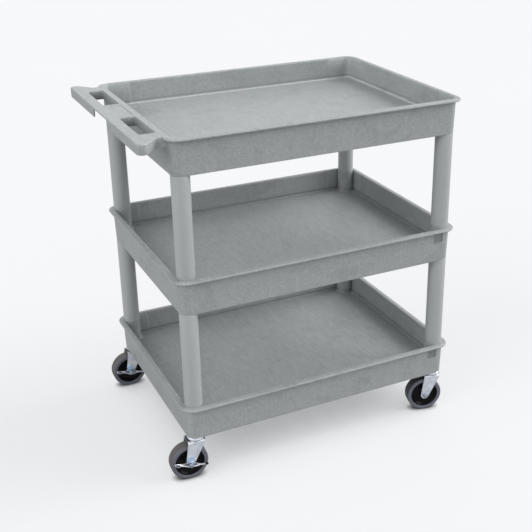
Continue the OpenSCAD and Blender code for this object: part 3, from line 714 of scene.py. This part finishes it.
HUB_HALF, RIM_HALF, CORE_R = 17.0, 14.5, 40.0
half_core = np.vstack([[[6.45, 0], [6.45, HUB_HALF]], [[12, HUB_HALF]], arc(12, HUB_HALF - 1, 1, 90, 0, 3)[1:],
    [[13.6, 12]], arc(16.5, 11.4, 2.6, 180, 270, 4), [[24, 8.3], [29, 8.6]], arc(30.5, 12.0, 3.4, 270, 350, 4),
    [[35.2, 13.6]], arc(36.4, 13.6, 0.9, 180, 90, 3)[1:], [[CORE_R, RIM_HALF]], [[CORE_R, 0]]])
core = on_axle(turned(np.vstack([half_core, half_core[::-1] * [1, -1]]), 96))
half_tyre = np.vstack([[[CORE_R + 0.05, 0], [CORE_R + 0.05, 14.9]],
    arc(CORE_R + 1.2, 14.9, 1.1, 180, 90, 3), [[46.6, 16.0]], arc(46.6, 11.6, 4.4, 90, 20, 7),
    [[WHEEL_R, 8.5], [WHEEL_R, 4.0]], [[WHEEL_R, 0]]])
tyre = on_axle(turned(np.vstack([half_tyre, half_tyre[::-1] * [1, -1]]), 120))


# ---- The brakes on the two rear casters: a sprung plate on the leg, squeezed by a foot lever ----
# The pressed lever turns on the axle bolt, with a cupped tab to step on behind and a thin arm in
# front, whose end has a black sleeve.
LEVER_AT = LEG_OUT + 3.6
LEVER_T, LEVER_REACH = 2.0, 46.0
LEVER_TILT = 12.0
lean = 180 - LEVER_TILT


def lever_half(s):
    """Half the lever's width at s along it: a thin arm, a diamond round the pivot, a neck and a round tab."""
    return np.interp(s, [-46, -25, 0, 25, 29, 32, 37, 42, 44.5, 46],
        [1.8, 2.0, 8.7, 3.0, 3.2, 4.6, 6.2, 5.6, 3.6, 0.4])


def lever_painted_shade(p):
    """Painted shade: 1 in the hollows of the diamond and of the tab, falling to 0 at their bright edges."""
    cos, sin = math.cos(math.radians(lean)), math.sin(math.radians(lean))
    x, z = p[:, 0] + TRAIL, p[:, 2] - WHEEL_R
    s, width = x * cos + z * sin, z * cos - x * sin
    half = lever_half(s)
    across = np.where(s > 27, (-p[:, 1] - LEVER_AT - LEVER_T / 2 - half) / half, width / half)
    return (1 - smooth(np.abs(across), 0.35, 0.8)) * smooth(half, 3.4, 5.0) * 0.8


def lever_surface():
    """A lever as a closed band: point = middle(s) + width direction * t + normal * (thickness and cup),
    where the width direction turns from upright to level on the way to the foot tab."""
    s = np.concatenate([np.linspace(-LEVER_REACH + 3, -25, 12), np.linspace(-23, 23, 25),
        np.linspace(25, LEVER_REACH, 30)])
    half = lever_half(s)
    twist = np.radians(84) * smooth(s, 25, 33)
    lane = np.linspace(-1, 1, 11)
    t = np.concatenate([lane, lane[::-1]])[None]
    face = np.concatenate([0 * lane + LEVER_T / 2, 0 * lane - LEVER_T / 2])[None]
    cup = 1.4 * np.abs(t) ** 3 * np.clip(half / 4, 0, 1)[:, None]
    width, rise = half[:, None] * t, face * np.clip(half / 1.2, 0.3, 1)[:, None] * 0.75 + cup
    cos, sin = np.cos(twist)[:, None], np.sin(twist)[:, None]
    out = LEVER_AT + LEVER_T / 2 + half[:, None] * sin
    points, faces = skin(np.stack(np.broadcast_arrays(
        s[:, None], width * cos - rise * sin, out + width * sin + rise * cos), -1))
    end_ring = np.arange(t.size)
    caps = [[end_ring[::-1].tolist()], [((len(s) - 1) * t.size + end_ring).tolist()]]
    return [(points, faces), (points, caps[0]), (points, caps[1])]


def cam_surface():
    """The sprung plate on the leg: a tongue round the axle and up the leg, domed outwards. The height at
    share q of the way from its middle to its edge is base + dome * (1 - q * q)."""
    around = np.linspace(0, 2 * np.pi, 64, endpoint=False)
    q = np.array([1.0, 1.0, 0.97, 0.9, 0.75, 0.55, 0.3, 0.0])[:, None]
    high = np.array([0.0, 0.9, 1.3, 1.7, 2.3, 2.8, 3.1, 3.2])[:, None]
    edge_x = 11.6 * np.cos(around)
    edge_y = np.where(np.sin(around) > 0, 25.0, 11.5) * np.sin(around)
    valley = 1.1 * np.exp(-((q * edge_y - 11.5) / 3.2) ** 2) * (1 - q ** 4)
    out = LEG_OUT + high - valley * (high > 1)
    return skin(np.stack(np.broadcast_arrays(q * edge_x, q * edge_y, out), -1))


for joint in [j for j in frame["joints"] if j["name"].endswith("_swivel")]:
    corner = joint["name"].removesuffix("_swivel")
    roll = next(j for j in frame["joints"] if j["name"] == corner + "_roll")
    braked = corner in ("rear_right", "rear_left")
    place = dict(at=(joint["pos_m"][0] / MM, joint["pos_m"][1] / MM, 0),
        turn=math.atan2(-roll["axis"][0], roll["axis"][1]))
    caster, wheel = corner + "_caster", corner + "_wheel"
    make_piece(corner + "_swivel_cup", [swivel_cup], zinc, "zinc", "frame", [corner + "_caster_stem"], **place)
    make_piece(corner + "_fork_pressing", [fork_sheet, crown_ring], zinc, "zinc", caster, [corner + "_fork"],
        crease=40, tread_and_painted_light=crown_painted_reflection, **place)
    nut_low = LEVER_AT + LEVER_T + 0.6 if braked else LEG_OUT
    bolt_end = nut_low + NUT_TALL + (0.4 if braked else 1.8)
    make_piece(corner + "_hex_bolt", bolt_surfaces(bolt_end), dull_zinc, "zinc", caster,
        [corner + "_axle_bolt"], **place)
    make_piece(corner + "_lock_nut", [nut_surface(nut_low)], dull_zinc, "zinc", caster,
        [corner + "_axle_nut"], **place)
    make_piece(corner + "_wheel_disc", [core], wheel_black, "wheel_plastic", wheel,
        [corner + "_wheel_core"], **place)
    # how much of each point is tread: by its distance from the axle
    make_piece(corner + "_rubber_tyre", [tyre], dusty_tyre if braked else clean_tyre, "tyre_rubber", wheel,
        [corner + "_tyre"], **place,
        tread_and_painted_light=lambda p: smooth(np.hypot(p[:, 0] + TRAIL, p[:, 2] - WHEEL_R), 48.6, 50.6))
    for part, material, slot in (("raceway_balls", ball_steel, "ball_steel"), ("axle_sleeve", zinc, "zinc"),
                                 ("thrust_washers", black_nylon, "black_plastic"),
                                 ("caster_socket", black_nylon, "black_plastic")):
        kept = frame["nodes"][f"{corner}_{part}"]
        kept.data.materials.clear()
        kept.data.materials.append(material)
    if braked:
        make_piece(corner + "_cam_plate", [on_axle(cam_surface())], blue_zinc, "zinc", caster,
            [corner + "_brake_cam"], **place)
        make_piece(corner + "_foot_lever", [on_axle(s, lean) for s in lever_surface()], zinc, "zinc",
            corner + "_brake", [corner + "_brake_lever"], crease=40, tread_and_painted_light=lever_painted_shade, **place)
        sleeve = turned(np.vstack([[[0, 0]], arc(2.6, 0.6, 0.6, -90, 0, 2), arc(1.6, 6.4, 1.6, 0, 90, 4),
            [[0, 8.0]]]), 24)
        tip = sleeve[0] @ np.array([[0, 1, 0], [0, 0, 1], [-1, 0, 0]])
        tip = tip + [-LEVER_REACH + 6.5, 0, LEVER_AT + LEVER_T / 2]
        make_piece(corner + "_tip_sleeve", [on_axle((tip, sleeve[1]), lean)], black_nylon, "black_plastic",
            corner + "_brake", [corner + "_lever_tip"], **place)
